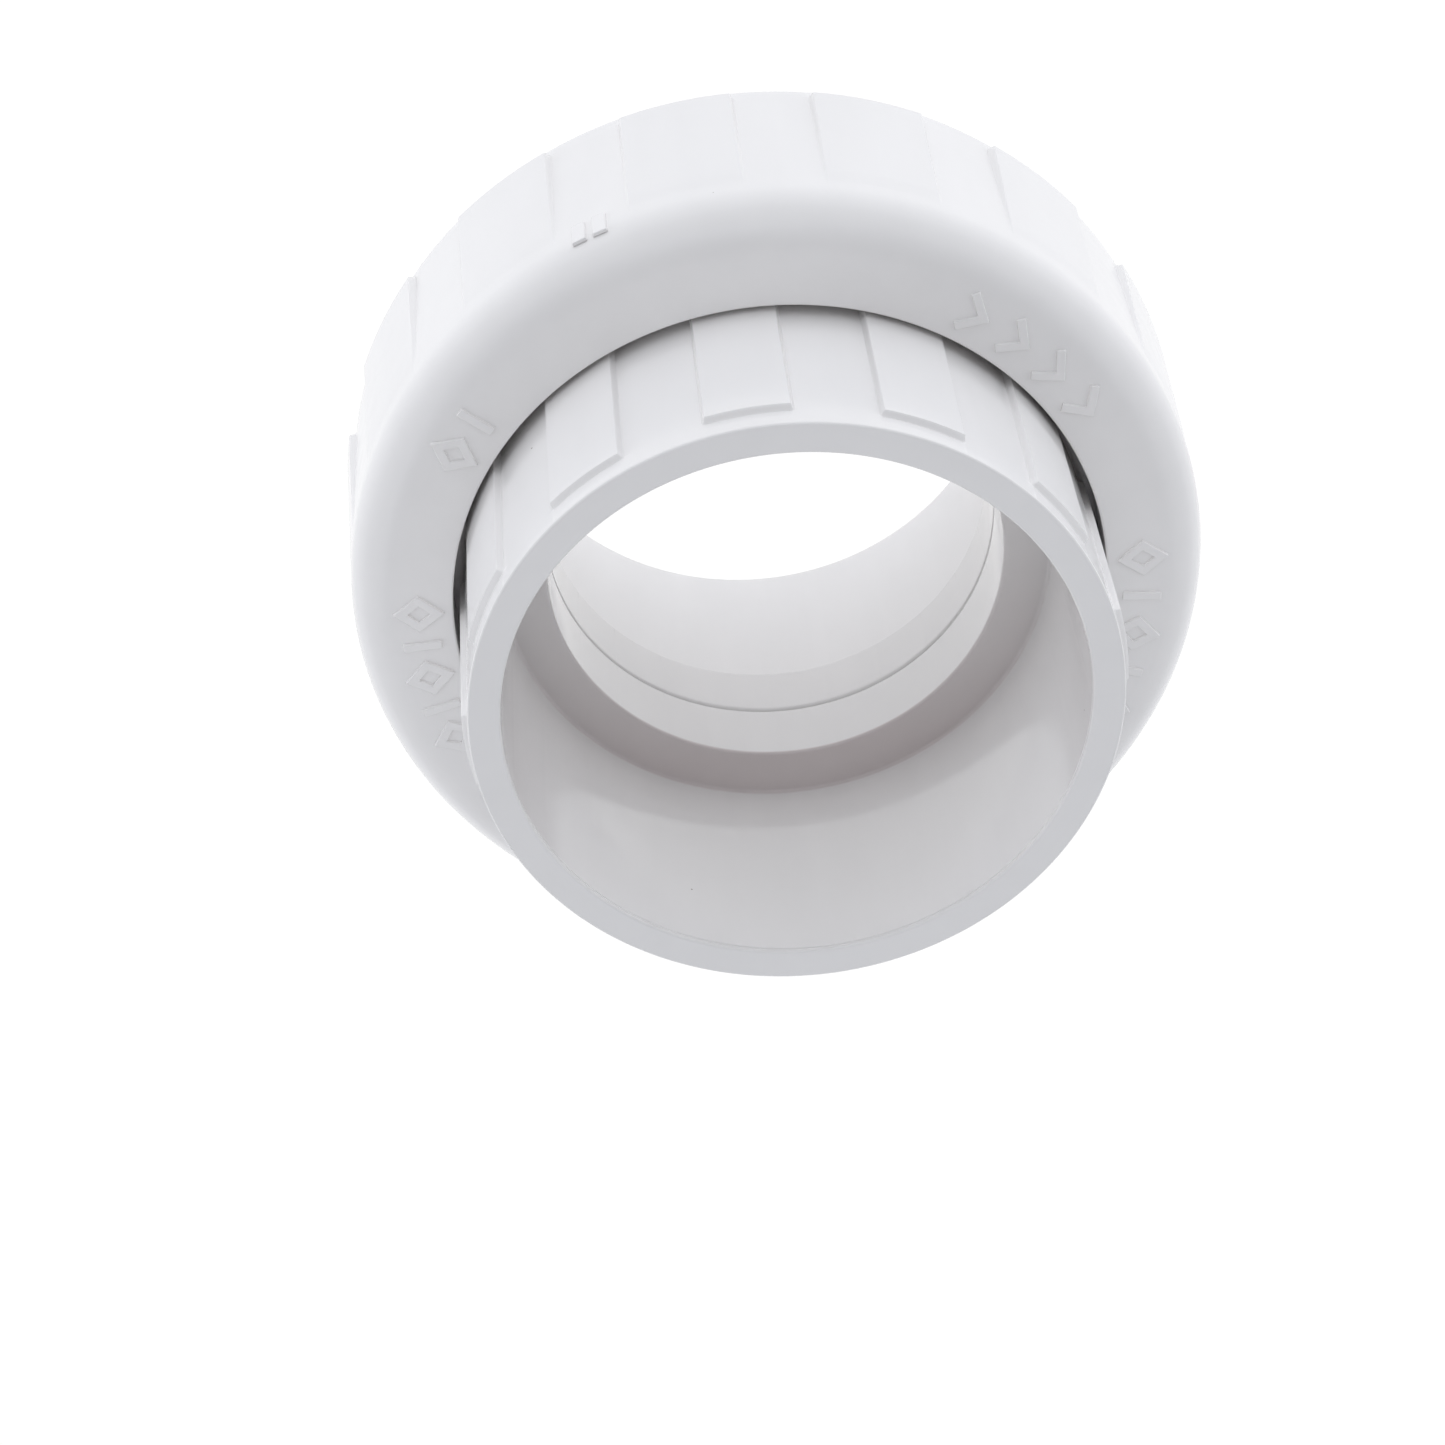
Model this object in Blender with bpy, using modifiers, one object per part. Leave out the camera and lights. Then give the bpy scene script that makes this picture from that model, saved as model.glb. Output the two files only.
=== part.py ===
"""Union fitting for 60 mm (2 inch) irrigation pipe, with a solvent-weld socket at each end.

The fitting stands on the mouth of its threaded body, with +Z along the pipe axis towards the
tailpiece. The union nut hooks over the tailpiece's flange and screws down onto the threaded body,
which presses the two faces together on the O-ring between them.
"""

import math

import bmesh
import bpy

# Lengths are in metres and angles in degrees. Heights are measured from the threaded body's mouth.

# Pipe way, the same size in both halves
SOCKET_MOUTH_RADIUS = 0.0304
SOCKET_STOP_RADIUS = 0.0301
BORE_RADIUS = 0.0249
WALL_RADIUS = 0.0338
EDGE_CHAMFER = 0.0003
FACE_GAP = 0.0003

# Threaded body
BODY_HEIGHT = 0.03875
BODY_STOP_HEIGHT = 0.0312
BODY_MOUTH_RADIUS = 0.0310
BODY_MOUTH_CHAMFER = 0.0010
BODY_NECK_LOW = 0.0130
BODY_NECK_HIGH = 0.0168
BODY_LEAD_IN = 0.0010

# O-ring and its groove in the threaded body's top face
O_RING_RADIUS = 0.0305
O_RING_THICKNESS = 0.0030
O_RING_HEIGHT = 0.03715
GROOVE_CLEARANCE = 0.0004
GROOVE_DEPTH = 0.0035

# Tailpiece
TAIL_BOTTOM = BODY_HEIGHT + FACE_GAP
TAIL_STOP_HEIGHT = 0.0479
TAIL_TOP = 0.0778
FLANGE_RADIUS = 0.0398
FLANGE_TOP = 0.0479
FLANGE_CHAMFER = 0.0005

# Grip pads on the walls of both halves, as wide as the gaps between them
WALL_PAD_COUNT = 12
WALL_PAD_WIDTH = 180 / WALL_PAD_COUNT
WALL_PAD_ANGLE = 3.15
WALL_PAD_RADIUS = 0.03445
WALL_PAD_MARGIN = 0.0026

# Union nut
NUT_BOTTOM = 0.0258
NUT_TOP = 0.0554
NUT_RADIUS = 0.0460
NUT_FILLET = 0.0050
NUT_RIM_CHAMFER = 0.0006
LIP_RADIUS = 0.0351
LIP_UNDERSIDE = FLANGE_TOP + FACE_GAP
POCKET_RADIUS = 0.0406
POCKET_BOTTOM = 0.0394
NUT_PAD_COUNT = 14
NUT_PAD_WIDTH = 15.2
NUT_PAD_ANGLE = 19.5
NUT_PAD_LOW = 0.0281
NUT_PAD_HIGH = 0.0483
NUT_PAD_LOW_RADIUS = 0.0469
NUT_PAD_HIGH_RADIUS = 0.0462

# Right-hand thread that joins the nut to the body
PITCH = 0.0050
BODY_CORE_RADIUS = 0.0396
BODY_CREST_RADIUS = 0.0414
NUT_WALL_RADIUS = 0.0420
NUT_CREST_RADIUS = 0.0402
RIDGE_ROOT_WIDTH = 0.0027
RIDGE_CREST_WIDTH = 0.0015
RIDGE_SUNK = 0.0003
BODY_THREAD_START = 0.0208
BODY_THREAD_TURNS = 3.1
NUT_THREAD_START = BODY_THREAD_START + 1.5 * PITCH
NUT_THREAD_TURNS = 1.9

SEGMENTS = 72
THREAD_SEGMENTS = 60
PAD_STEPS = 3
FILLET_STEPS = 6
O_RING_STEPS = 10
SINK = 0.0006
MERGE_DISTANCE = 0.00001
SHARP_ANGLE = 35

WHITE_PLASTIC = (0.83, 0.83, 0.84)
BLACK_RUBBER = (0.02, 0.02, 0.02)


def clear_scene():
    """Removes whatever the file starts with."""
    for thing in list(bpy.data.objects):
        bpy.data.objects.remove(thing)


def add_collection(name):
    collection = bpy.data.collections.new(name)
    bpy.context.scene.collection.children.link(collection)
    return collection


def add_object(name, mesh, collection):
    thing = bpy.data.objects.new(name, mesh)
    collection.objects.link(thing)
    return thing


def add_material(name, colour, roughness):
    made = bpy.data.materials.new(name)
    made.use_nodes = True
    shader = made.node_tree.nodes["Principled BSDF"]
    shader.inputs["Base Color"].default_value = (*colour, 1)
    shader.inputs["Roughness"].default_value = roughness
    shader.inputs["Metallic"].default_value = 0
    return made


def arc(centre, radius, start, end, steps):
    """Points (radius, height) on a round stretch of an outline, from start to end in degrees."""
    points = []
    for step in range(steps + 1):
        angle = math.radians(start + (end - start) * step / steps)
        points.append((centre[0] + radius * math.cos(angle), centre[1] + radius * math.sin(angle)))
    return points


def outline_mesh(name, outline):
    """A closed loop of edges in the XZ plane, through points given as (radius, height)."""
    shape = bmesh.new()
    corners = [shape.verts.new((radius, 0, height)) for radius, height in outline]
    for corner, following in zip(corners, corners[1:] + corners[:1]):
        shape.edges.new((corner, following))
    mesh = bpy.data.meshes.new(name)
    shape.to_mesh(mesh)
    shape.free()
    return mesh


def add_screw(thing, turns, rise, steps):
    """Sweeps the object's outline round the Z axis, rising by the given amount on the way."""
    screw = thing.modifiers.new("turn", "SCREW")
    screw.axis = "Z"
    screw.angle = math.radians(360) * turns
    screw.screw_offset = rise
    screw.steps = steps
    screw.render_steps = steps
    screw.use_merge_vertices = True
    screw.merge_threshold = MERGE_DISTANCE


def add_turned(name, outline, collection):
    """A ring-shaped solid. Its outline runs clockwise: down the outside and up the inside."""
    thing = add_object(name, outline_mesh(name, outline), collection)
    add_screw(thing, 1, 0, SEGMENTS)
    return thing


def baked_mesh(thing):
    """The object's mesh with its modifiers applied."""
    bpy.context.view_layer.update()
    depsgraph = bpy.context.evaluated_depsgraph_get()
    return bpy.data.meshes.new_from_object(thing.evaluated_get(depsgraph))


def hide_cutter(thing):
    thing.hide_render = True
    thing.display_type = "WIRE"


def add_thread_ridge(name, root_radius, crest_radius, start, turns, collection):
    """A helical ridge of trapezoid section. Its root is sunk into the wall it stands on."""
    outward = 1 if crest_radius > root_radius else -1
    sunk_radius = root_radius - outward * RIDGE_SUNK
    section = [
        (sunk_radius, start - RIDGE_ROOT_WIDTH / 2),
        (crest_radius, start - RIDGE_CREST_WIDTH / 2),
        (crest_radius, start + RIDGE_CREST_WIDTH / 2),
        (sunk_radius, start + RIDGE_ROOT_WIDTH / 2),
    ]
    ridge = add_object(name, outline_mesh(name, section), collection)
    add_screw(ridge, turns, PITCH * turns, round(THREAD_SEGMENTS * turns))
    mesh = baked_mesh(ridge)
    ridge.modifiers.clear()
    shape = bmesh.new()
    shape.from_mesh(mesh)
    bmesh.ops.holes_fill(shape, edges=shape.edges)
    bmesh.ops.recalc_face_normals(shape, faces=shape.faces)
    shape.to_mesh(mesh)
    shape.free()
    ridge.data = mesh
    hide_cutter(ridge)
    return ridge


def add_pads(name, layout, wall_radius, heights, top_radii, collection):
    """Raised pads evenly spaced round a wall: curved blocks with their roots sunk into it.

    The layout is their count, the first one's angle and their width. The heights and the top radii
    are each a pair, for the pads' low and high ends.
    """
    count, first_angle, width = layout
    pads = bmesh.new()
    inner = wall_radius - SINK
    for index in range(count):
        centre = first_angle + 360 * index / count
        block = bmesh.new()
        bmesh.ops.create_cube(block, size=1)
        along = [e for e in block.edges if abs(e.verts[0].co.y - e.verts[1].co.y) > 0.5]
        bmesh.ops.subdivide_edges(block, edges=along, cuts=PAD_STEPS - 1, use_grid_fill=True)
        for vertex in block.verts:
            outward, up = vertex.co.x + 0.5, vertex.co.z + 0.5
            height = heights[0] + up * (heights[1] - heights[0])
            top_radius = top_radii[0] + up * (top_radii[1] - top_radii[0])
            radius = inner + outward * (top_radius - inner)
            angle = math.radians(centre + vertex.co.y * width)
            vertex.co = (radius * math.cos(angle), radius * math.sin(angle), height)
        mesh = bpy.data.meshes.new(name)
        block.to_mesh(mesh)
        block.free()
        pads.from_mesh(mesh)
        bpy.data.meshes.remove(mesh)
    mesh = bpy.data.meshes.new(name)
    pads.to_mesh(mesh)
    pads.free()
    thing = add_object(name, mesh, collection)
    hide_cutter(thing)
    return thing


def join(thing, added):
    """Joins another solid to the object with a Boolean union."""
    union = thing.modifiers.new(added.name, "BOOLEAN")
    union.operation = "UNION"
    union.solver = "EXACT"
    union.object = added


def finish_shape(thing, material, parent):
    """Bakes the modifiers, then shades round walls smooth between their sharp edges."""
    mesh = baked_mesh(thing)
    thing.modifiers.clear()
    thing.data = mesh
    thing.parent = parent
    mesh.materials.clear()
    mesh.materials.append(material)
    mesh.shade_smooth()
    mesh.set_sharp_from_angle(angle=math.radians(SHARP_ANGLE))


def make_threaded_body(parts, cutters):
    """The half with the male thread, a groove for the O-ring and a pipe socket below."""
    groove_inner = O_RING_RADIUS - O_RING_THICKNESS / 2 - GROOVE_CLEARANCE
    groove_outer = O_RING_RADIUS + O_RING_THICKNESS / 2 + GROOVE_CLEARANCE
    groove_bottom = BODY_HEIGHT - GROOVE_DEPTH
    body = add_turned(
        "threaded_body",
        [
            (BORE_RADIUS, BODY_HEIGHT),
            (groove_inner, BODY_HEIGHT),
            (groove_inner, groove_bottom),
            (groove_outer, groove_bottom),
            (groove_outer, BODY_HEIGHT),
            (BODY_CORE_RADIUS - BODY_LEAD_IN, BODY_HEIGHT),
            (BODY_CORE_RADIUS, BODY_HEIGHT - BODY_LEAD_IN),
            (BODY_CORE_RADIUS, BODY_NECK_HIGH),
            (WALL_RADIUS, BODY_NECK_LOW),
            (WALL_RADIUS, EDGE_CHAMFER),
            (WALL_RADIUS - EDGE_CHAMFER, 0),
            (BODY_MOUTH_RADIUS, 0),
            (SOCKET_MOUTH_RADIUS, BODY_MOUTH_CHAMFER),
            (SOCKET_STOP_RADIUS, BODY_STOP_HEIGHT),
            (BORE_RADIUS, BODY_STOP_HEIGHT),
        ],
        parts,
    )
    pads = add_pads(
        "body_pads",
        (WALL_PAD_COUNT, WALL_PAD_ANGLE, WALL_PAD_WIDTH),
        WALL_RADIUS,
        (WALL_PAD_MARGIN, BODY_NECK_LOW + SINK),
        (WALL_PAD_RADIUS, WALL_PAD_RADIUS),
        cutters,
    )
    ridge = add_thread_ridge(
        "body_thread",
        BODY_CORE_RADIUS,
        BODY_CREST_RADIUS,
        BODY_THREAD_START,
        BODY_THREAD_TURNS,
        cutters,
    )
    join(body, pads)
    join(body, ridge)
    return body


def make_o_ring(parts):
    """The rubber ring that the tailpiece's face presses into the groove."""
    centre = (O_RING_RADIUS, O_RING_HEIGHT)
    section = arc(centre, O_RING_THICKNESS / 2, 90, -270, O_RING_STEPS)[:-1]
    return add_turned("o_ring", section, parts)


def make_tailpiece(parts, cutters):
    """The flanged half: a pipe socket that the nut holds against the threaded body."""
    tail = add_turned(
        "tailpiece",
        [
            (SOCKET_MOUTH_RADIUS, TAIL_TOP),
            (WALL_RADIUS - EDGE_CHAMFER, TAIL_TOP),
            (WALL_RADIUS, TAIL_TOP - EDGE_CHAMFER),
            (WALL_RADIUS, FLANGE_TOP),
            (FLANGE_RADIUS - FLANGE_CHAMFER, FLANGE_TOP),
            (FLANGE_RADIUS, FLANGE_TOP - FLANGE_CHAMFER),
            (FLANGE_RADIUS, TAIL_BOTTOM + FLANGE_CHAMFER),
            (FLANGE_RADIUS - FLANGE_CHAMFER, TAIL_BOTTOM),
            (BORE_RADIUS, TAIL_BOTTOM),
            (BORE_RADIUS, TAIL_STOP_HEIGHT),
            (SOCKET_STOP_RADIUS, TAIL_STOP_HEIGHT),
        ],
        parts,
    )
    pads = add_pads(
        "tailpiece_pads",
        (WALL_PAD_COUNT, WALL_PAD_ANGLE, WALL_PAD_WIDTH),
        WALL_RADIUS,
        (FLANGE_TOP - SINK, TAIL_TOP - WALL_PAD_MARGIN),
        (WALL_PAD_RADIUS, WALL_PAD_RADIUS),
        cutters,
    )
    join(tail, pads)
    return tail


def make_union_nut(parts, cutters):
    """The nut: a threaded skirt under an inward lip that hooks over the tailpiece's flange."""
    fillet_centre = (NUT_RADIUS - NUT_FILLET, NUT_TOP - NUT_FILLET)
    nut = add_turned(
        "union_nut",
        [
            (LIP_RADIUS, NUT_TOP),
            *arc(fillet_centre, NUT_FILLET, 90, 0, FILLET_STEPS),
            (NUT_RADIUS, NUT_BOTTOM + NUT_RIM_CHAMFER),
            (NUT_RADIUS - NUT_RIM_CHAMFER, NUT_BOTTOM),
            (NUT_WALL_RADIUS + NUT_RIM_CHAMFER, NUT_BOTTOM),
            (NUT_WALL_RADIUS, NUT_BOTTOM + NUT_RIM_CHAMFER),
            (NUT_WALL_RADIUS, POCKET_BOTTOM),
            (POCKET_RADIUS, POCKET_BOTTOM + NUT_WALL_RADIUS - POCKET_RADIUS),
            (POCKET_RADIUS, LIP_UNDERSIDE),
            (LIP_RADIUS, LIP_UNDERSIDE),
        ],
        parts,
    )
    pads = add_pads(
        "nut_pads",
        (NUT_PAD_COUNT, NUT_PAD_ANGLE, NUT_PAD_WIDTH),
        NUT_RADIUS,
        (NUT_PAD_LOW, NUT_PAD_HIGH),
        (NUT_PAD_LOW_RADIUS, NUT_PAD_HIGH_RADIUS),
        cutters,
    )
    ridge = add_thread_ridge(
        "nut_thread",
        NUT_WALL_RADIUS,
        NUT_CREST_RADIUS,
        NUT_THREAD_START,
        NUT_THREAD_TURNS,
        cutters,
    )
    join(nut, pads)
    join(nut, ridge)
    return nut


def main():
    clear_scene()
    parts = add_collection("union_fitting")
    cutters = add_collection("cutters")
    fitting = add_object("fitting_axis", None, parts)
    white = add_material("white_pvc", WHITE_PLASTIC, 0.3)
    rubber = add_material("black_rubber", BLACK_RUBBER, 0.6)
    finish_shape(make_threaded_body(parts, cutters), white, fitting)
    finish_shape(make_o_ring(parts), rubber, fitting)
    finish_shape(make_tailpiece(parts, cutters), white, fitting)
    finish_shape(make_union_nut(parts, cutters), white, fitting)


main()
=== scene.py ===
"""Looks of the union fitting: three white PVC mouldings and a rubber O-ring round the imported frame.

Each moulding is a loft: a closed outline of (radius, height) points carried round the pipe axis,
with grip pads raised on its outer wall. The body and the nut have a helical ridge joined on as
their thread. The nut also has raised marks on its face and two small pips on its shoulder.
Lengths are in metres and angles in degrees.
"""

import math

import bmesh
import bpy
from mathutils import Matrix, Vector


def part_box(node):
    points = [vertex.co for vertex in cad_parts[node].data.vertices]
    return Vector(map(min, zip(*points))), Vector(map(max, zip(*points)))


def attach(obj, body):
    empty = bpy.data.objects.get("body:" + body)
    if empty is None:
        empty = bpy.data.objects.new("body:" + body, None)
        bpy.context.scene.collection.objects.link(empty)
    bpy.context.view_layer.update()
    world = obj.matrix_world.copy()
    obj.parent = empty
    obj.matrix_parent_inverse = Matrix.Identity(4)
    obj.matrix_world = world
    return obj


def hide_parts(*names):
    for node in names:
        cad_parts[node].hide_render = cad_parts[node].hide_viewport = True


MM = 0.001

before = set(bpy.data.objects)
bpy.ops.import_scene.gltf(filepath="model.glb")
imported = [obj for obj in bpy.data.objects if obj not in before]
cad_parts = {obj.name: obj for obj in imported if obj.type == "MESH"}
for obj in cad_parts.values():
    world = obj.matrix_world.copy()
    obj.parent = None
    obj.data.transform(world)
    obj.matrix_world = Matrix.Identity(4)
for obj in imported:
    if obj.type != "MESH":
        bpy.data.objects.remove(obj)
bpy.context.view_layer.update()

body_low, body_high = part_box("threaded_body")
tail_low, tail_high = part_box("tailpiece")
nut_low, nut_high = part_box("union_nut")
ring_low, ring_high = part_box("o_ring")

# How finely the lofts are divided, and where their shading stays sharp
LONGEST_SIDE = 2.0 * MM
WIDEST_TURN = 1.5
EDGE_STEPS = 4
TOUCHING = 0.01 * MM
SHARP_ANGLE = 32

# Radii and grip pads that both halves share
WALL = 33.8 * MM
BORE = 24.9 * MM
SOCKET_MOUTH = 30.4 * MM
SOCKET_END = 30.1 * MM
WALL_PAD_TOP = 34.45 * MM
WALL_PADS = {"count": 12, "first": 3.15, "width": 15.0}
PAD_MARGIN = 2.75 * MM
PAD_EDGE = 0.4 * MM

# Heights that the frame gives
BODY_TOP = body_high.z
BODY_BOTTOM = body_low.z
TAIL_BOTTOM = tail_low.z
TAIL_TOP = tail_high.z
NUT_BOTTOM = nut_low.z
NUT_TOP = nut_high.z

# Threaded body
BODY_STOP = BODY_BOTTOM + 31.2 * MM
BODY_MOUTH = 31.0 * MM
BODY_MOUTH_CHAMFER = 1.0 * MM
NECK_LOW = BODY_BOTTOM + 13.0 * MM
NECK_HIGH = BODY_BOTTOM + 16.8 * MM
THREAD_CORE = 39.6 * MM
THREAD_CREST = 41.4 * MM
THREAD_CHAMFER = 1.0 * MM
GROOVE_DEPTH = 3.5 * MM
GROOVE_CLEARANCE = 0.4 * MM

# Tailpiece, with a fine line scored round its socket just below the mouth
FLANGE = 39.8 * MM
FLANGE_TOP = TAIL_BOTTOM + 8.85 * MM
TAIL_PAD_LOW = FLANGE_TOP + 0.7 * MM
LINE_HEIGHT = TAIL_TOP - 0.6 * MM
LINE_DEPTH = 0.25 * MM
LINE_HALF_WIDTH = 0.15 * MM

# Union nut: its pads are highest at the rim and fade towards the shoulder
NUT_WALL = 46.0 * MM
NUT_PADS = {"count": 14, "first": 19.5, "width": 15.2}
NUT_PAD_RIM = 46.8 * MM
NUT_PAD_SHOULDER = 46.12 * MM
NUT_PAD_LOW = NUT_BOTTOM + 2.3 * MM
NUT_PAD_HIGH = NUT_TOP - 7.6 * MM
NUT_PAD_FADE = 3.5 * MM
NUT_FILLET = 5.0 * MM
LIP = 35.1 * MM
LIP_UNDERSIDE = FLANGE_TOP + 0.3 * MM
POCKET = 40.6 * MM
POCKET_BOTTOM = NUT_BOTTOM + 13.6 * MM
NUT_THREAD_WALL = 42.0 * MM
NUT_THREAD_CREST = 40.2 * MM
NUT_CHAMFER = 0.8 * MM

# Thread: ridges that stand on the body's and the nut's walls
PITCH = 5.0 * MM
RIDGE_ROOT = 2.7 * MM
RIDGE_CREST = 1.5 * MM
RIDGE_FILLET = 0.3 * MM
RIDGE_SUNK = 0.3 * MM
RIDGE_LEAST = 0.05
BODY_THREAD_START = BODY_BOTTOM + 20.8 * MM
BODY_THREAD_TURNS = 3.1
NUT_THREAD_START = BODY_THREAD_START + 1.5 * PITCH
NUT_THREAD_TURNS = 1.9
THREAD_RUN_OUT = 30
THREAD_STEPS = 120

# O-ring
O_RING_THICKNESS = ring_high.z - ring_low.z
O_RING_RADIUS = ring_high.x - O_RING_THICKNESS / 2
O_RING_HEIGHT = (ring_low.z + ring_high.z) / 2
O_RING_SECTION_STEP = 12
O_RING_TURN_STEP = 2

# Raised marks on the nut's face: the shapes are paths of (along, outward) millimetres
STROKE = 1.1 * MM
MARK_RISE = 0.28 * MM
MARK_SUNK = 0.15 * MM
MARK_DRAFT = 0.1 * MM
MARK_EDGE = 0.1 * MM
MARK_EDGE_ANGLE = 40
CHEVRON = [(1.3, 2.1), (-1.0, 0), (1.3, -2.1)]
DIAMOND = [(0, 2.0), (-1.6, 0), (0, -2.0), (1.6, 0)]
BAR = [(0, -2.1), (0, 2.1)]
MARK_ROWS = [
    (38.8 * MM, [(234, CHEVRON), (226, CHEVRON), (218, CHEVRON), (210, CHEVRON)]),
    (39.0 * MM, [(180, DIAMOND), (173, BAR), (166, DIAMOND), (159, BAR), (152, DIAMOND)]),
    (38.8 * MM, [(355, DIAMOND), (1, BAR), (7, DIAMOND), (13, BAR), (19, DIAMOND)]),
    (39.2 * MM, [(325.5, DIAMOND), (319, BAR)]),
]
PIP_ANGLES = (288.3, 291.2)
PIP_LOW = NUT_TOP - 7.5 * MM
PIP_HIGH = NUT_TOP - 3.6 * MM
PIP_WIDTH = 1.7 * MM

# PVC: every colour here is in linear light, and a texture's size is that of its grain
PVC_WHITE = (0.885, 0.87, 0.859)
PVC_SHADE = 0.98
PVC_IOR = 1.53
NUT_ROUGHNESS = 0.21
BODY_ROUGHNESS = 0.18
TAIL_ROUGHNESS = 0.1
ROUGHNESS_SPREAD = 0.03
MOTTLE_SIZE = 14 * MM
STREAK_SIZE = 4 * MM
STREAK_STRETCH = (1, 1, 0.15)
SHADE_RANGE = (0.75, 1.25)
GLOSS_SIZE = 4 * MM
GLOSS_RANGE = (0.3, 0.7)
PEEL_SIZE = 1.6 * MM
PEEL_FINE_SIZE = 0.35 * MM
PEEL_DEPTH = 0.003 * MM
SPECK_BROWN = (0.25, 0.2, 0.16)
SPECK_SPACING = 8 * MM
SPECK_RADIUS = 0.13 * MM
SPECK_CORE = 0.6
# Painted shade: a darker, browner tint on the level ledges at the flange's height, the socket's stop
# among them, strongest towards +Y
LEDGE_SHADE_COLOUR = (0.68, 0.62, 0.61)
LEDGE_SHADE_REACH = 0.5 * MM
LEDGE_SHADE_CORE = 0.4
LEDGE_SHADE_SPREAD = 25 * MM
LEDGE_SHADE_LEAST = 0.2

# Rubber
RUBBER_BLACK = (0.018, 0.018, 0.019)
RUBBER_BLOOM = (0.045, 0.045, 0.047)
RUBBER_ROUGHNESS = (0.45, 0.7)
BLOOM_SIZE = 2.5 * MM
BLOOM_RANGE = (0.4, 0.75)
RUBBER_GLOSS_SIZE = 1.2 * MM
GRAIN_SIZE = 0.25 * MM
GRAIN_DEPTH = 0.02 * MM

# Backdrop: a white floor that turns up into a pale wall
FLOOR_GAP = 0.05 * MM
BACKDROP_RADIUS = 3.0
BACKDROP_HEIGHT = 2.5
BACKDROP_SIDES = 96
BACKDROP_GLOW_NEAR = 1.03
BACKDROP_GLOW_FAR = 0.72
BACKDROP_FADE = (0.25, 2.0)

# Camera
CAMERA_PLACE = (0.00779, -0.21462, 0.40227)
CAMERA_TILT = 33.49
CAMERA_ROLL = 173.41
CAMERA_LENS = 94.77

# Studio lights: each one's direction, how quickly it fades away from there, and its strength
ROOM_TINT = (0.945, 0.968, 1.02)
ROOM_LIGHTS = [
    ((0, 0, -1), 0.25, 0.9),
    ((0, 0, -1), 8.0, 1.0),
    ((0, 1, -0.6), 4.0, 0.75),
    ((0, -1, 0.05), 4.0, 1.08),
    ((1, 0, 0.05), 4.0, 0.75),
    ((-1, 0, 0.05), 4.0, 0.75),
    ((-1, 0, 0.1), 14.0, 0.55),
    ((0, 1, 0.05), 4.0, 0.3),
    ((0, -1, 1), 6.0, 0.77),
    ((1, 0.2, 0.5), 14.0, 1.8),
    ((-1, 0.2, 0.5), 14.0, 0.85),
    ((0, 1, 1), 6.0, 0.96),
    ((-0.83, -0.37, 0.41), 80.0, 1.0),
]


# --- meshes -----------------------------------------------------------------------------------


def spoke(angle):
    """The direction that points out from the pipe axis at an angle."""
    return Vector((math.cos(math.radians(angle)), math.sin(math.radians(angle)), 0))


def rounded(corners, steps=5):
    """A closed outline through (radius, height, fillet) corners, each fillet drawn as an arc."""
    points = []
    for index, (radius, height, fillet) in enumerate(corners):
        corner = Vector((radius, height))
        if fillet == 0:
            points.append(corner)
            continue
        before = (Vector(corners[index - 1][:2]) - corner).normalized()
        after = (Vector(corners[(index + 1) % len(corners)][:2]) - corner).normalized()
        half = before.angle(after) / 2
        centre = corner + (before + after).normalized() * fillet / math.sin(half)
        start = corner + before * fillet / math.tan(half) - centre
        end = corner + after * fillet / math.tan(half) - centre
        turn = start.angle_signed(end)
        for step in range(steps + 1):
            points.append(centre + Matrix.Rotation(-turn * step / steps, 2) @ start)
    return points


def refined(points, heights):
    """The closed outline with its long sides split, and with points added at the given heights."""
    fine = []
    for point, following in zip(points, points[1:] + points[:1]):
        side = following - point
        pieces = max(1, math.ceil(side.length / LONGEST_SIDE))
        shares = {piece / pieces for piece in range(pieces)}
        if abs(side.y) > LONGEST_SIDE:
            shares |= {share for share in ((z - point.y) / side.y for z in heights) if 0 < share < 1}
        fine += [point + side * share for share in sorted(shares)]
    return fine


def soft_step(share):
    """An S-curve from 0 to 1, which stays at 0 before its start and at 1 after its end."""
    share = min(1.0, max(0.0, share))
    return share * share * (3 - 2 * share)


def stations(edge, width):
    """Places across a soft ramp that is centred on an edge, so that the mesh keeps its shape."""
    return [edge + width * (step / EDGE_STEPS - 0.5) for step in range(EDGE_STEPS + 1)]


class Pads:
    """Grip pads spaced round a wall: how far they raise it at each angle and height."""

    def __init__(self, layout, wall, tops, low, high, fade=PAD_EDGE):
        self.count, self.first = layout["count"], layout["first"]
        self.half = layout["width"] / 2
        self.pitch = 360 / self.count
        self.wall, self.tops = wall, tops
        self.low, self.high, self.fade = low, high, fade
        self.edge_angle = math.degrees(PAD_EDGE / wall)

    def heights(self):
        """The heights that a loft needs: across the ramps at the pads' lower and upper ends."""
        return stations(self.low, PAD_EDGE) + stations(self.high, self.fade)

    def angles(self):
        """The angles of a loft: across each pad's side ramps, and evenly between them."""
        marks = []
        for index in range(self.count):
            centre = self.first + self.pitch * index
            for edge in (centre - self.half, centre + self.half):
                marks += [angle % 360 for angle in stations(edge, self.edge_angle)]
        marks.sort()
        angles = []
        for mark, following in zip(marks, marks[1:] + [marks[0] + 360]):
            pieces = max(1, math.ceil((following - mark) / WIDEST_TURN))
            angles += [mark + (following - mark) * piece / pieces for piece in range(pieces)]
        return angles

    def radius(self, radius, height, angle):
        """The wall's radius with the pad on it. Points inside the wall keep theirs."""
        if radius < self.wall - TOUCHING:
            return radius
        offset = (angle - self.first + self.pitch / 2) % self.pitch - self.pitch / 2
        side = soft_step((self.half - abs(offset)) / self.edge_angle + 0.5)
        low_end = soft_step((height - self.low) / PAD_EDGE + 0.5)
        high_end = soft_step((self.high - height) / self.fade + 0.5)
        share = (height - self.low) / (self.high - self.low)
        top = self.tops[0] + (self.tops[1] - self.tops[0]) * share
        return max(radius, self.wall + (top - self.wall) * side * low_end * high_end)


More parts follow.
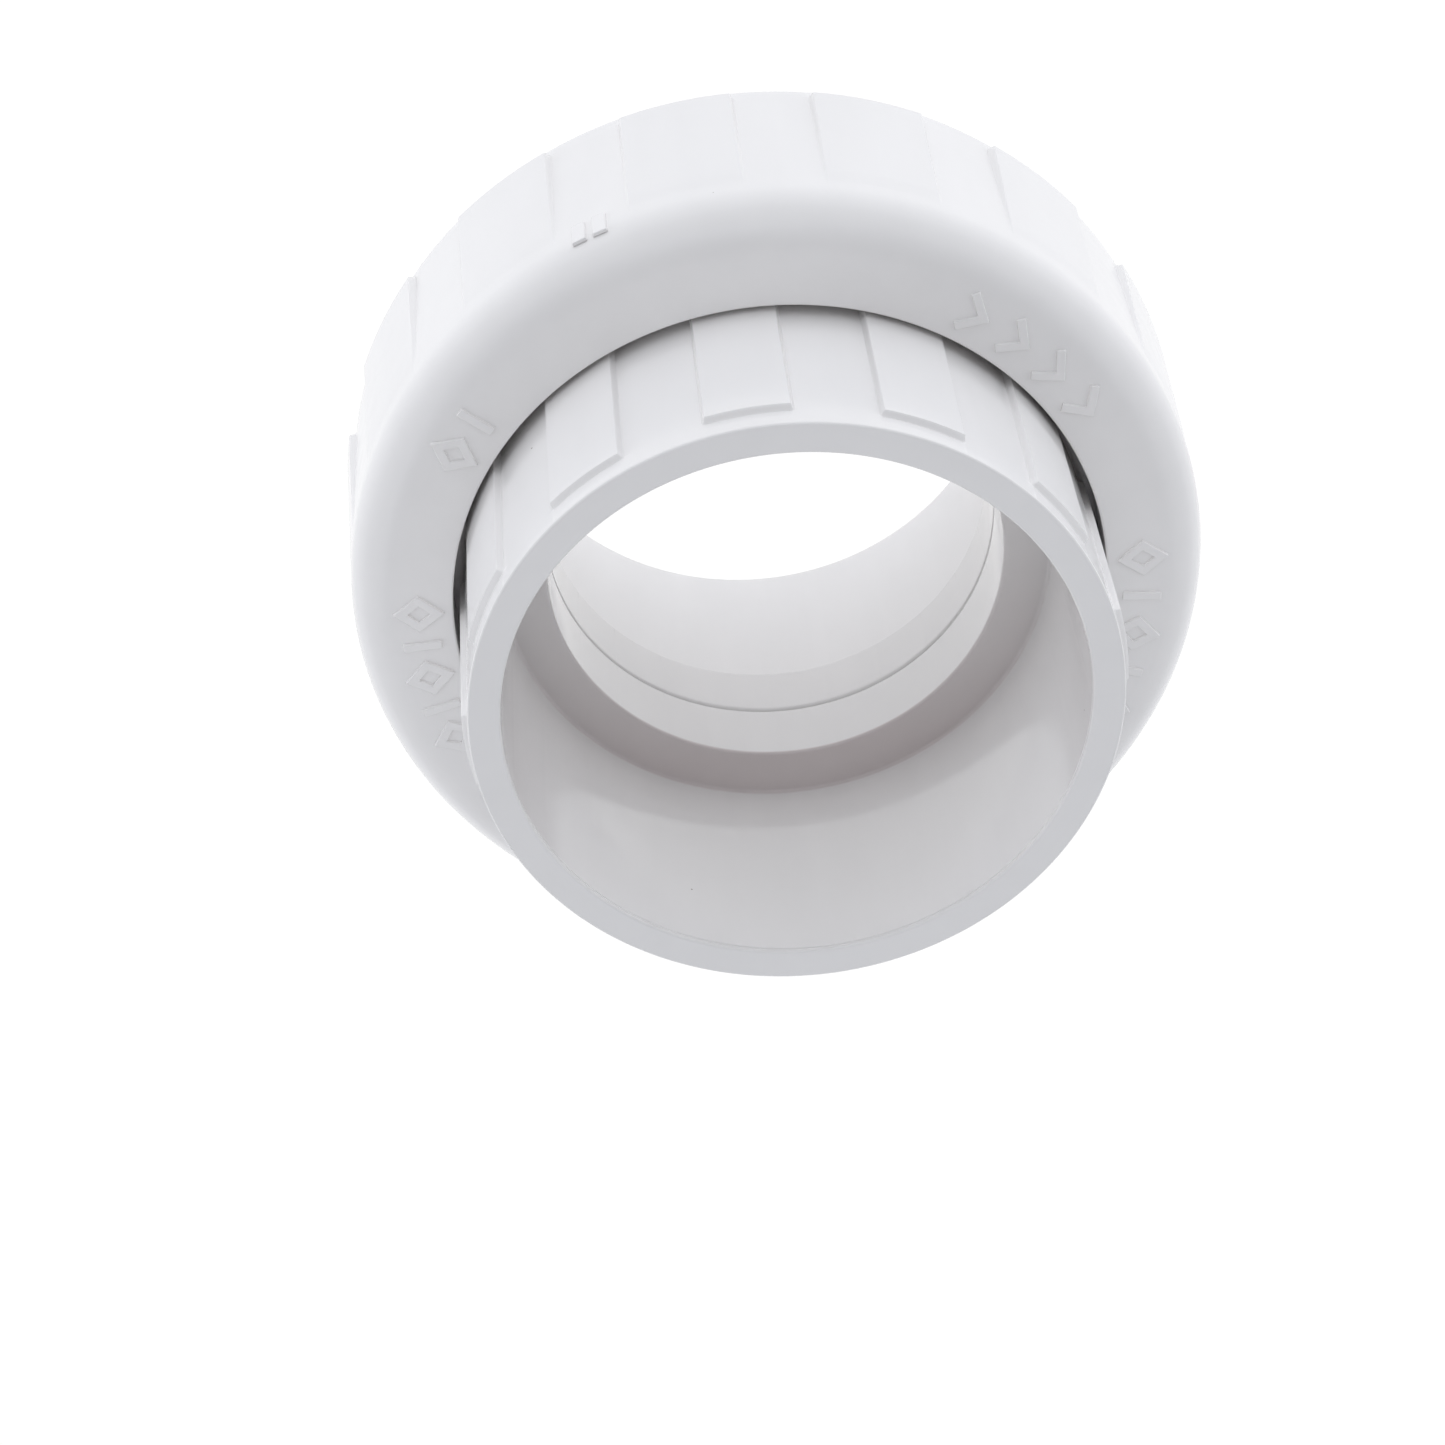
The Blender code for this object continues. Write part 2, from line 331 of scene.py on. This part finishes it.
def mesh_object(name, vertices, faces):
    """An object in the scene with a mesh of these vertices and faces."""
    mesh = bpy.data.meshes.new(name)
    mesh.from_pydata(vertices, [], faces)
    mesh.update()
    thing = bpy.data.objects.new(name, mesh)
    bpy.context.scene.collection.objects.link(thing)
    return thing


def loft(name, rings, closed):
    """A skin over rings of points, one after another: closed on itself, or with its ends capped."""
    size = len(rings[0])
    vertices = [point for ring in rings for point in ring]
    faces = []
    for index in range(len(rings) if closed else len(rings) - 1):
        here, there = index * size, (index + 1) % len(rings) * size
        for corner in range(size):
            after = (corner + 1) % size
            faces.append((here + corner, here + after, there + after, there + corner))
    if not closed:
        faces.append(tuple(range(size))[::-1])
        faces.append(tuple(range(len(vertices) - size, len(vertices))))
    return mesh_object(name, vertices, faces)


def turned(name, outline, angles, pads=None):
    """A ring-shaped solid from an outline that runs down its outer side."""
    rings = []
    for angle in angles:
        ring = []
        for radius, height in outline:
            reach = pads.radius(radius, height, angle) if pads else radius
            ring.append(spoke(angle) * reach + Vector((0, 0, height)))
        rings.append(ring)
    return loft(name, rings, True)


def thread_ridge(name, wall, crest, start, turns):
    """A helical ridge that rises out of its wall at one end and sinks back into it at the other."""
    outward = math.copysign(1, crest - wall)
    rise = abs(crest - wall) + RIDGE_SUNK
    section = rounded(
        [
            (0, -RIDGE_ROOT / 2, 0),
            (rise, -RIDGE_CREST / 2, RIDGE_FILLET),
            (rise, RIDGE_CREST / 2, RIDGE_FILLET),
            (0, RIDGE_ROOT / 2, 0),
        ]
    )
    steps = round(turns * THREAD_STEPS)
    rings = []
    for step in range(steps + 1):
        angle = 360 * turns * step / steps
        grown = max(RIDGE_LEAST, soft_step(min(angle, 360 * turns - angle) / THREAD_RUN_OUT))
        centre = start + PITCH * angle / 360
        ring = []
        for depth, height in section:
            reach = wall + outward * (depth * grown - RIDGE_SUNK)
            ring.append(spoke(angle) * reach + Vector((0, 0, centre + height)))
        rings.append(ring if outward > 0 else ring[::-1])
    return loft(name, rings, False)


def raised_stroke(path, up, width, closed):
    """A low bar along a path of points. Its sides lean in, and its root is sunk in the surface."""
    section = [
        (-width / 2, -MARK_SUNK),
        (width / 2, -MARK_SUNK),
        (width / 2 - MARK_DRAFT, MARK_RISE),
        (-width / 2 + MARK_DRAFT, MARK_RISE),
    ]
    rings = []
    for index, point in enumerate(path):
        arriving = (point - path[index - 1]).normalized()
        leaving = (path[(index + 1) % len(path)] - point).normalized()
        if not closed and index == 0:
            arriving = leaving
        if not closed and index == len(path) - 1:
            leaving = arriving
        heading = (arriving + leaving).normalized()
        side = heading.cross(up) / heading.dot(leaving)
        rings.append([point + side * across + up * height for across, height in section])
    return loft("stroke", rings, closed)


def merged(name, things):
    """One object with the meshes of several, which are removed."""
    shape = bmesh.new()
    for thing in things:
        shape.from_mesh(thing.data)
        bpy.data.objects.remove(thing)
    bmesh.ops.recalc_face_normals(shape, faces=shape.faces)
    mesh = bpy.data.meshes.new(name)
    shape.to_mesh(mesh)
    shape.free()
    whole = bpy.data.objects.new(name, mesh)
    bpy.context.scene.collection.objects.link(whole)
    return whole


def smooth(thing):
    """Smooth shading that stops at the sharp edges."""
    thing.data.shade_smooth()
    thing.data.set_sharp_from_angle(angle=math.radians(SHARP_ANGLE))
    normals = thing.modifiers.new("even_normals", "WEIGHTED_NORMAL")
    normals.keep_sharp = True


def unite(thing, other):
    """Joins the other solid into this one, and removes it."""
    union = thing.modifiers.new(other.name, "BOOLEAN")
    union.operation = "UNION"
    union.solver = "EXACT"
    union.object = other
    bpy.context.view_layer.update()
    depsgraph = bpy.context.evaluated_depsgraph_get()
    mesh = bpy.data.meshes.new_from_object(thing.evaluated_get(depsgraph))
    thing.modifiers.clear()
    thing.data = mesh
    bpy.data.objects.remove(other)


# --- materials --------------------------------------------------------------------------------


def node(tree, kind, **settings):
    """A shader node with its sockets and settings filled in by name."""
    made = tree.nodes.new(kind)
    for name, value in settings.items():
        socket = name.replace("_", " ")
        if socket in made.inputs:
            made.inputs[socket].default_value = value
        else:
            setattr(made, name, value)
    return made


def start_material(name):
    """A new material, its node tree, its shader and the coordinates that its textures use."""
    made = bpy.data.materials.new(name)
    made.use_nodes = True
    tree = made.node_tree
    place = node(tree, "ShaderNodeTexCoord").outputs["Object"]
    return made, tree, tree.nodes["Principled BSDF"], place


def noise(tree, place, size, detail, stretch=(1, 1, 1)):
    """Soft noise from 0 to 1, whose grain has the given size in metres."""
    spread = node(tree, "ShaderNodeMapping", Scale=stretch)
    made = node(tree, "ShaderNodeTexNoise", Scale=1 / size, Detail=detail)
    tree.links.new(place, spread.inputs["Vector"])
    tree.links.new(spread.outputs["Vector"], made.inputs["Vector"])
    return made.outputs["Fac"]


def remap(tree, value, low, high, to_low=0.0, to_high=1.0):
    """The value's range from low to high, stretched to a new range and clamped to it."""
    made = node(
        tree, "ShaderNodeMapRange", From_Min=low, From_Max=high, To_Min=to_low, To_Max=to_high
    )
    tree.links.new(value, made.inputs["Value"])
    return made.outputs["Result"]


def blend_colours(tree, factor, first, second):
    """A mix of two colours, each an output of another node or a plain colour.

    A mix node has its sockets once for each type of data, so those for colours go by number.
    """
    made = node(tree, "ShaderNodeMix", data_type="RGBA")
    tree.links.new(factor, made.inputs["Factor"])
    for socket, colour in zip((made.inputs[6], made.inputs[7]), (first, second)):
        if isinstance(colour, tuple):
            socket.default_value = (*colour, 1)
        else:
            tree.links.new(colour, socket)
    return made.outputs[2]


def combined(tree, operation, first, second):
    """Two values put together with a sum, product or other operation. Either may be a number."""
    made = node(tree, "ShaderNodeMath", operation=operation)
    for socket, value in zip(made.inputs, (first, second)):
        if isinstance(value, float):
            socket.default_value = value
        else:
            tree.links.new(value, socket)
    return made.outputs["Value"]


def add_bump(tree, shader, height, depth):
    """Bump of the given depth in metres."""
    bump = node(tree, "ShaderNodeBump", Strength=1.0, Distance=depth)
    tree.links.new(height, bump.inputs["Height"])
    tree.links.new(bump.outputs["Normal"], shader.inputs["Normal"])


def specks(tree, place):
    """1 inside small round specks that lie scattered through the plastic, 0 elsewhere."""
    cells = node(tree, "ShaderNodeTexVoronoi", Scale=1 / SPECK_SPACING)
    tree.links.new(place, cells.inputs["Vector"])
    edge = SPECK_RADIUS / SPECK_SPACING
    return remap(tree, cells.outputs["Distance"], edge, SPECK_CORE * edge)


def ledge_shade(tree, place, height):
    """1 where the painted shade is darkest: on a level ledge at the given height, towards the +Y
    side.
    """
    parts = node(tree, "ShaderNodeSeparateXYZ")
    tree.links.new(place, parts.inputs["Vector"])
    # Painted shade fades out away from the ledge's height and grows towards +Y
    above = combined(tree, "SUBTRACT", parts.outputs["Z"], height)
    away = combined(tree, "ABSOLUTE", above, 0.0)
    on_ledge = remap(tree, away, LEDGE_SHADE_REACH, LEDGE_SHADE_CORE * LEDGE_SHADE_REACH)
    towards_plus_y = remap(tree, parts.outputs["Y"], 0.0, LEDGE_SHADE_SPREAD, LEDGE_SHADE_LEAST, 1.0)
    return combined(tree, "MULTIPLY", on_ledge, towards_plus_y)


def pvc(name, roughness, shaded_ledge_height=None):
    """Moulded white PVC: mottle and flow streaks, uneven gloss, orange peel and a few dark specks.

    A level ledge at the given height, if there is one, gets painted shade: a darker, browner tint.
    """
    made, tree, shader, place = start_material(name)
    mottle = noise(tree, place, MOTTLE_SIZE, 3.0)
    streaks = noise(tree, place, STREAK_SIZE, 2.0, stretch=STREAK_STRETCH)
    shade = remap(tree, combined(tree, "ADD", mottle, streaks), *SHADE_RANGE)
    deeper = tuple(PVC_SHADE * value for value in PVC_WHITE)
    plain = blend_colours(tree, shade, deeper, PVC_WHITE)
    surface = blend_colours(tree, specks(tree, place), plain, SPECK_BROWN)
    if shaded_ledge_height is not None:
        # Painted shade: the ledge at the given height is tinted darker and browner
        surface = blend_colours(tree, ledge_shade(tree, place, shaded_ledge_height), surface, LEDGE_SHADE_COLOUR)
    tree.links.new(surface, shader.inputs["Base Color"])
    uneven = noise(tree, place, GLOSS_SIZE, 3.0)
    smoothest, roughest = roughness - ROUGHNESS_SPREAD, roughness + ROUGHNESS_SPREAD
    gloss = remap(tree, uneven, *GLOSS_RANGE, smoothest, roughest)
    tree.links.new(gloss, shader.inputs["Roughness"])
    shader.inputs["IOR"].default_value = PVC_IOR
    coarse = noise(tree, place, PEEL_SIZE, 1.0)
    fine = noise(tree, place, PEEL_FINE_SIZE, 2.0)
    add_bump(tree, shader, combined(tree, "ADD", coarse, fine), PEEL_DEPTH)
    return made


def rubber(name):
    """Black moulded rubber with a grey bloom and a fine matt grain."""
    made, tree, shader, place = start_material(name)
    bloom = remap(tree, noise(tree, place, BLOOM_SIZE, 4.0), *BLOOM_RANGE)
    surface = blend_colours(tree, bloom, RUBBER_BLACK, RUBBER_BLOOM)
    tree.links.new(surface, shader.inputs["Base Color"])
    uneven = noise(tree, place, RUBBER_GLOSS_SIZE, 3.0)
    gloss = remap(tree, uneven, *GLOSS_RANGE, *RUBBER_ROUGHNESS)
    tree.links.new(gloss, shader.inputs["Roughness"])
    add_bump(tree, shader, noise(tree, place, GRAIN_SIZE, 3.0), GRAIN_DEPTH)
    return made


# --- pieces -----------------------------------------------------------------------------------


def make_tailpiece():
    """The flanged half, whose socket opens upwards."""
    tops = (WALL_PAD_TOP, WALL_PAD_TOP)
    pads = Pads(WALL_PADS, WALL, tops, TAIL_PAD_LOW, TAIL_TOP - PAD_MARGIN)
    outline = rounded(
        [
            (SOCKET_MOUTH, TAIL_TOP, 0.3 * MM),
            (WALL, TAIL_TOP, 0.3 * MM),
            (WALL, FLANGE_TOP, 0.4 * MM),
            (FLANGE, FLANGE_TOP, 0.5 * MM),
            (FLANGE, TAIL_BOTTOM, 0.5 * MM),
            (BORE, TAIL_BOTTOM, 0.35 * MM),
            (BORE, FLANGE_TOP, 0.3 * MM),
            (SOCKET_END, FLANGE_TOP, 0.4 * MM),
            (SOCKET_MOUTH, LINE_HEIGHT - LINE_HALF_WIDTH, 0),
            (SOCKET_MOUTH + LINE_DEPTH, LINE_HEIGHT, 0),
            (SOCKET_MOUTH, LINE_HEIGHT + LINE_HALF_WIDTH, 0),
        ]
    )
    tail = turned("tailpiece_moulding", refined(outline, pads.heights()), pads.angles(), pads)
    smooth(tail)
    return tail


def make_body():
    """The threaded half, with a groove for the O-ring in its top and a socket below."""
    tops = (WALL_PAD_TOP, WALL_PAD_TOP)
    pads = Pads(WALL_PADS, WALL, tops, BODY_BOTTOM + PAD_MARGIN, NECK_HIGH)
    groove_in = O_RING_RADIUS - O_RING_THICKNESS / 2 - GROOVE_CLEARANCE
    groove_out = O_RING_RADIUS + O_RING_THICKNESS / 2 + GROOVE_CLEARANCE
    groove_floor = BODY_TOP - GROOVE_DEPTH
    outline = rounded(
        [
            (BORE, BODY_TOP, 0.35 * MM),
            (groove_in, BODY_TOP, 0.15 * MM),
            (groove_in, groove_floor, 0.3 * MM),
            (groove_out, groove_floor, 0.3 * MM),
            (groove_out, BODY_TOP, 0.15 * MM),
            (THREAD_CORE - THREAD_CHAMFER, BODY_TOP, 0.2 * MM),
            (THREAD_CORE, BODY_TOP - THREAD_CHAMFER, 0.2 * MM),
            (THREAD_CORE, NECK_HIGH, 0.8 * MM),
            (WALL, NECK_LOW, 1.0 * MM),
            (WALL, BODY_BOTTOM, 0.3 * MM),
            (BODY_MOUTH, BODY_BOTTOM, 0.15 * MM),
            (SOCKET_MOUTH, BODY_BOTTOM + BODY_MOUTH_CHAMFER, 0.3 * MM),
            (SOCKET_END, BODY_STOP, 0.2 * MM),
            (BORE, BODY_STOP, 0.3 * MM),
        ]
    )
    body = turned("body_moulding", refined(outline, pads.heights()), pads.angles(), pads)
    ridge = thread_ridge(
        "body_thread", THREAD_CORE, THREAD_CREST, BODY_THREAD_START, BODY_THREAD_TURNS
    )
    unite(body, ridge)
    smooth(body)
    return body


def make_nut():
    """The nut, whose lip hooks over the tailpiece's flange."""
    tops = (NUT_PAD_RIM, NUT_PAD_SHOULDER)
    pads = Pads(NUT_PADS, NUT_WALL, tops, NUT_PAD_LOW, NUT_PAD_HIGH, NUT_PAD_FADE)
    outline = rounded(
        [
            (LIP, NUT_TOP, 0.25 * MM),
            (NUT_WALL, NUT_TOP, NUT_FILLET),
            (NUT_WALL, NUT_BOTTOM, 1.1 * MM),
            (NUT_THREAD_WALL + NUT_CHAMFER, NUT_BOTTOM, 0.3 * MM),
            (NUT_THREAD_WALL, NUT_BOTTOM + NUT_CHAMFER, 0.2 * MM),
            (NUT_THREAD_WALL, POCKET_BOTTOM, 0.2 * MM),
            (POCKET, POCKET_BOTTOM + NUT_THREAD_WALL - POCKET, 0.4 * MM),
            (POCKET, LIP_UNDERSIDE, 0.3 * MM),
            (LIP, LIP_UNDERSIDE, 0.25 * MM),
        ],
        steps=8,
    )
    nut = turned("nut_moulding", refined(outline, pads.heights()), pads.angles(), pads)
    ridge = thread_ridge(
        "nut_thread", NUT_THREAD_WALL, NUT_THREAD_CREST, NUT_THREAD_START, NUT_THREAD_TURNS
    )
    unite(nut, ridge)
    smooth(nut)
    return nut


def make_nut_marks():
    """Plain raised shapes in rows on the nut's face, and two pips on its shoulder."""
    up = Vector((0, 0, 1))
    strokes = []
    for radius, marks in MARK_ROWS:
        for angle, shape in marks:
            outward = spoke(angle)
            centre = outward * radius + up * NUT_TOP
            path = [centre + up.cross(outward) * x * MM + outward * y * MM for x, y in shape]
            strokes.append(raised_stroke(path, up, STROKE, shape is DIAMOND))
    for angle in PIP_ANGLES:
        foot = spoke(angle) * NUT_WALL
        path = [foot + up * PIP_LOW, foot + up * PIP_HIGH]
        strokes.append(raised_stroke(path, spoke(angle), PIP_WIDTH, False))
    marks = merged("nut_marks", strokes)
    edges = marks.modifiers.new("soft_edges", "BEVEL")
    edges.width = MARK_EDGE
    edges.segments = 3
    edges.limit_method = "ANGLE"
    edges.angle_limit = math.radians(MARK_EDGE_ANGLE)
    smooth(marks)
    return marks


def make_o_ring():
    """The rubber ring that lies in the body's groove, under the tailpiece."""
    centre = Vector((O_RING_RADIUS, O_RING_HEIGHT))
    half = O_RING_THICKNESS / 2
    section = [centre + half * spoke(90 - turn).xy for turn in range(0, 360, O_RING_SECTION_STEP)]
    ring = turned("o_ring_seal", section, range(0, 360, O_RING_TURN_STEP))
    smooth(ring)
    return ring


def dress(thing, material, body, slot, *nodes):
    """Gives a piece its material, the body it rides on and the CAD nodes it replaces; its slot is not
    used.
    """
    thing.data.materials.clear()
    thing.data.materials.append(material)
    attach(thing, body)
    if nodes:
        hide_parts(*nodes)


# --- stage ------------------------------------------------------------------------------------


def make_backdrop():
    """A glowing white floor that turns up into a round wall and fades to pale grey on the way.

    It shows and is mirrored, but doesn't light the pieces: the studio's lights shine through it.
    """
    shape = bmesh.new()
    bmesh.ops.create_circle(shape, cap_ends=True, radius=BACKDROP_RADIUS, segments=BACKDROP_SIDES)
    wall = bmesh.ops.extrude_edge_only(shape, edges=shape.edges[:])
    for corner in wall["geom"]:
        if isinstance(corner, bmesh.types.BMVert):
            corner.co.z = BACKDROP_HEIGHT
    mesh = bpy.data.meshes.new("floor")
    shape.to_mesh(mesh)
    shape.free()
    floor = bpy.data.objects.new("floor", mesh)
    floor.location.z = BODY_BOTTOM - FLOOR_GAP
    made, tree, shader, place = start_material("backdrop_white")
    distance = node(tree, "ShaderNodeVectorMath", operation="LENGTH")
    tree.links.new(place, distance.inputs[0])
    glow = remap(
        tree, distance.outputs["Value"], *BACKDROP_FADE, BACKDROP_GLOW_NEAR, BACKDROP_GLOW_FAR
    )
    tree.links.new(glow, shader.inputs["Emission Strength"])
    shader.inputs["Base Color"].default_value = (0, 0, 0, 1)
    shader.inputs["Specular IOR Level"].default_value = 0
    shader.inputs["Emission Color"].default_value = (1, 1, 1, 1)
    mesh.materials.append(made)
    floor.visible_diffuse = False
    floor.visible_shadow = False
    bpy.context.scene.collection.objects.link(floor)


def make_world():
    """A studio of soft lights: each is brightest in its direction and fades away from it."""
    world = bpy.data.worlds.new("studio")
    world.use_nodes = True
    tree = world.node_tree
    direction = node(tree, "ShaderNodeTexCoord").outputs["Generated"]
    total = None
    for towards, narrowness, strength in ROOM_LIGHTS:
        facing = node(tree, "ShaderNodeVectorMath", operation="DOT_PRODUCT")
        facing.inputs[1].default_value = Vector(towards).normalized()
        tree.links.new(direction, facing.inputs[0])
        ahead = combined(tree, "MAXIMUM", facing.outputs["Value"], 0.0)
        fading = combined(tree, "POWER", ahead, narrowness)
        light = combined(tree, "MULTIPLY", fading, strength)
        total = combined(tree, "ADD", total, light) if total else light
    background = tree.nodes["Background"]
    background.inputs["Color"].default_value = (*ROOM_TINT, 1)
    tree.links.new(total, background.inputs["Strength"])
    bpy.context.scene.world = world


def make_camera():
    """The camera: above the fitting on its -Y side, looking down into the tailpiece's socket."""
    camera = bpy.data.objects.new("camera", bpy.data.cameras.new("camera"))
    camera.data.sensor_width = 36
    camera.data.lens = CAMERA_LENS
    camera.data.clip_start = 0.01
    camera.matrix_world = (
        Matrix.Translation(CAMERA_PLACE)
        @ Matrix.Rotation(math.radians(CAMERA_TILT), 4, "X")
        @ Matrix.Rotation(math.radians(CAMERA_ROLL), 4, "Z")
    )
    bpy.context.scene.collection.objects.link(camera)
    bpy.context.scene.camera = camera


bpy.context.scene.view_settings.view_transform = "Standard"
nut_pvc = pvc("nut_pvc", NUT_ROUGHNESS)
body_pvc = pvc("body_pvc", BODY_ROUGHNESS)
# The tailpiece's level ledges at the flange's height get painted shade
tailpiece_pvc = pvc("tailpiece_pvc", TAIL_ROUGHNESS, shaded_ledge_height=FLANGE_TOP)
o_ring_rubber = rubber("o_ring_rubber")
dress(make_body(), body_pvc, "fitting_body", "body_plastic", "threaded_body")
dress(make_o_ring(), o_ring_rubber, "fitting_body", "o_ring_rubber", "o_ring")
dress(make_tailpiece(), tailpiece_pvc, "tailpiece", "tailpiece_plastic", "tailpiece")
dress(make_nut(), nut_pvc, "nut", "nut_plastic", "union_nut")
dress(make_nut_marks(), nut_pvc, "nut", "nut_plastic")
make_backdrop()
make_world()
make_camera()
